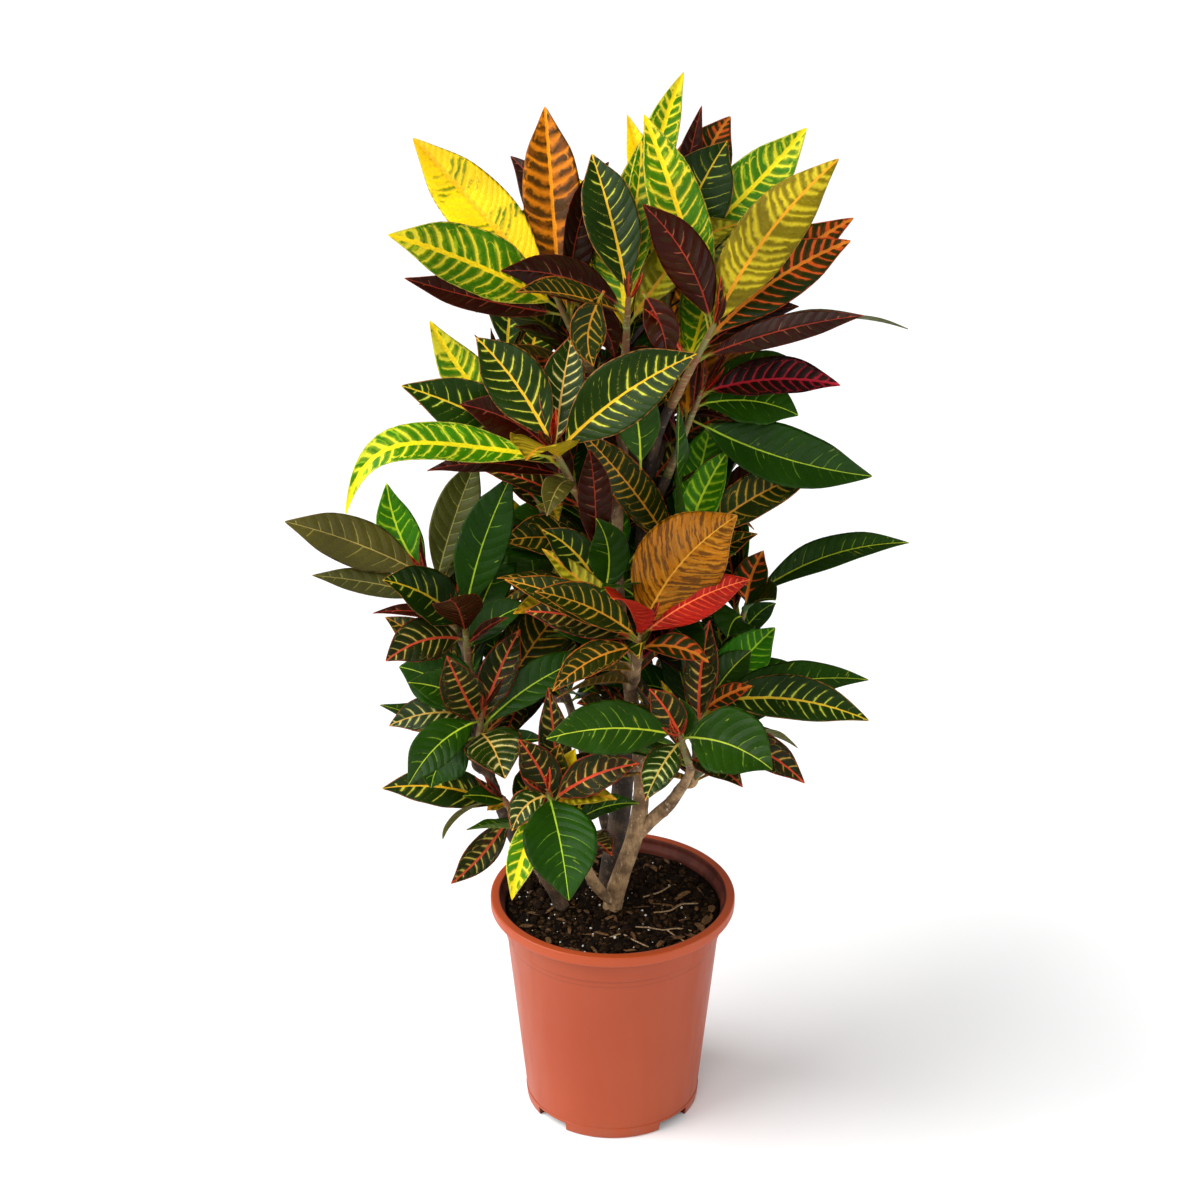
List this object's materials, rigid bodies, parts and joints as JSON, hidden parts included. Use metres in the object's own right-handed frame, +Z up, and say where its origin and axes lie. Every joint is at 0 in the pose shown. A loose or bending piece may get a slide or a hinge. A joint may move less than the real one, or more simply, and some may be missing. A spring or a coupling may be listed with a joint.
{
  "type": "potted croton",
  "caption": "Potted croton house plant: a tapered nursery pot of potting mix, woody stems, and heads of broad pointed leaves veined in yellow, orange and red.",
  "frame": {"origin": "centre of the pot's underside, on the surface it stands on", "axes": "+Z up along the pot's axis, -Y towards the front, which the picture shows, +X to the right in that view"},
  "size_m": [0.5964, 0.5378, 1.0077],
  "materials": {
    "pot_plastic": "satin moulded terracotta-coloured plastic",
    "soil": "moist dark potting mix with perlite",
    "bark": "dry ringed bark",
    "leaf_gold": "satin leaf, yellow and amber over green",
    "leaf_green": "satin leaf, dark green with pale veins",
    "leaf_red": "satin leaf, red and orange with dark green"
  },
  "bodies": {
    "root": {"pot": "pot_plastic", "soil": "soil", "stem_light": "bark", "stem_dark": "bark", "stem_rear": "bark", "stem_left": "bark", "head_top_left": "leaf_gold", "head_top_mid": "leaf_gold", "head_top_right": "leaf_gold", "head_top_back": "leaf_gold", "head_left_mid": "leaf_green", "head_right_mid": "leaf_red", "head_right_low": "leaf_green", "head_centre_back": "leaf_green", "head_centre": "leaf_red", "head_right": "leaf_green", "head_front_right": "leaf_green", "head_front_left": "leaf_green", "head_left_low": "leaf_green", "head_left_foot": "leaf_green", "head_left_up": "leaf_green", "head_left_top": "leaf_green", "head_right_back": "leaf_green", "head_back_top": "leaf_gold", "head_back_high": "leaf_gold", "head_back_side": "leaf_green", "head_back_left": "leaf_green", "head_back_right": "leaf_red", "head_back_mid": "leaf_green", "head_back_low_left": "leaf_green", "head_back_low_right": "leaf_green"}
  },
  "joints": []
}
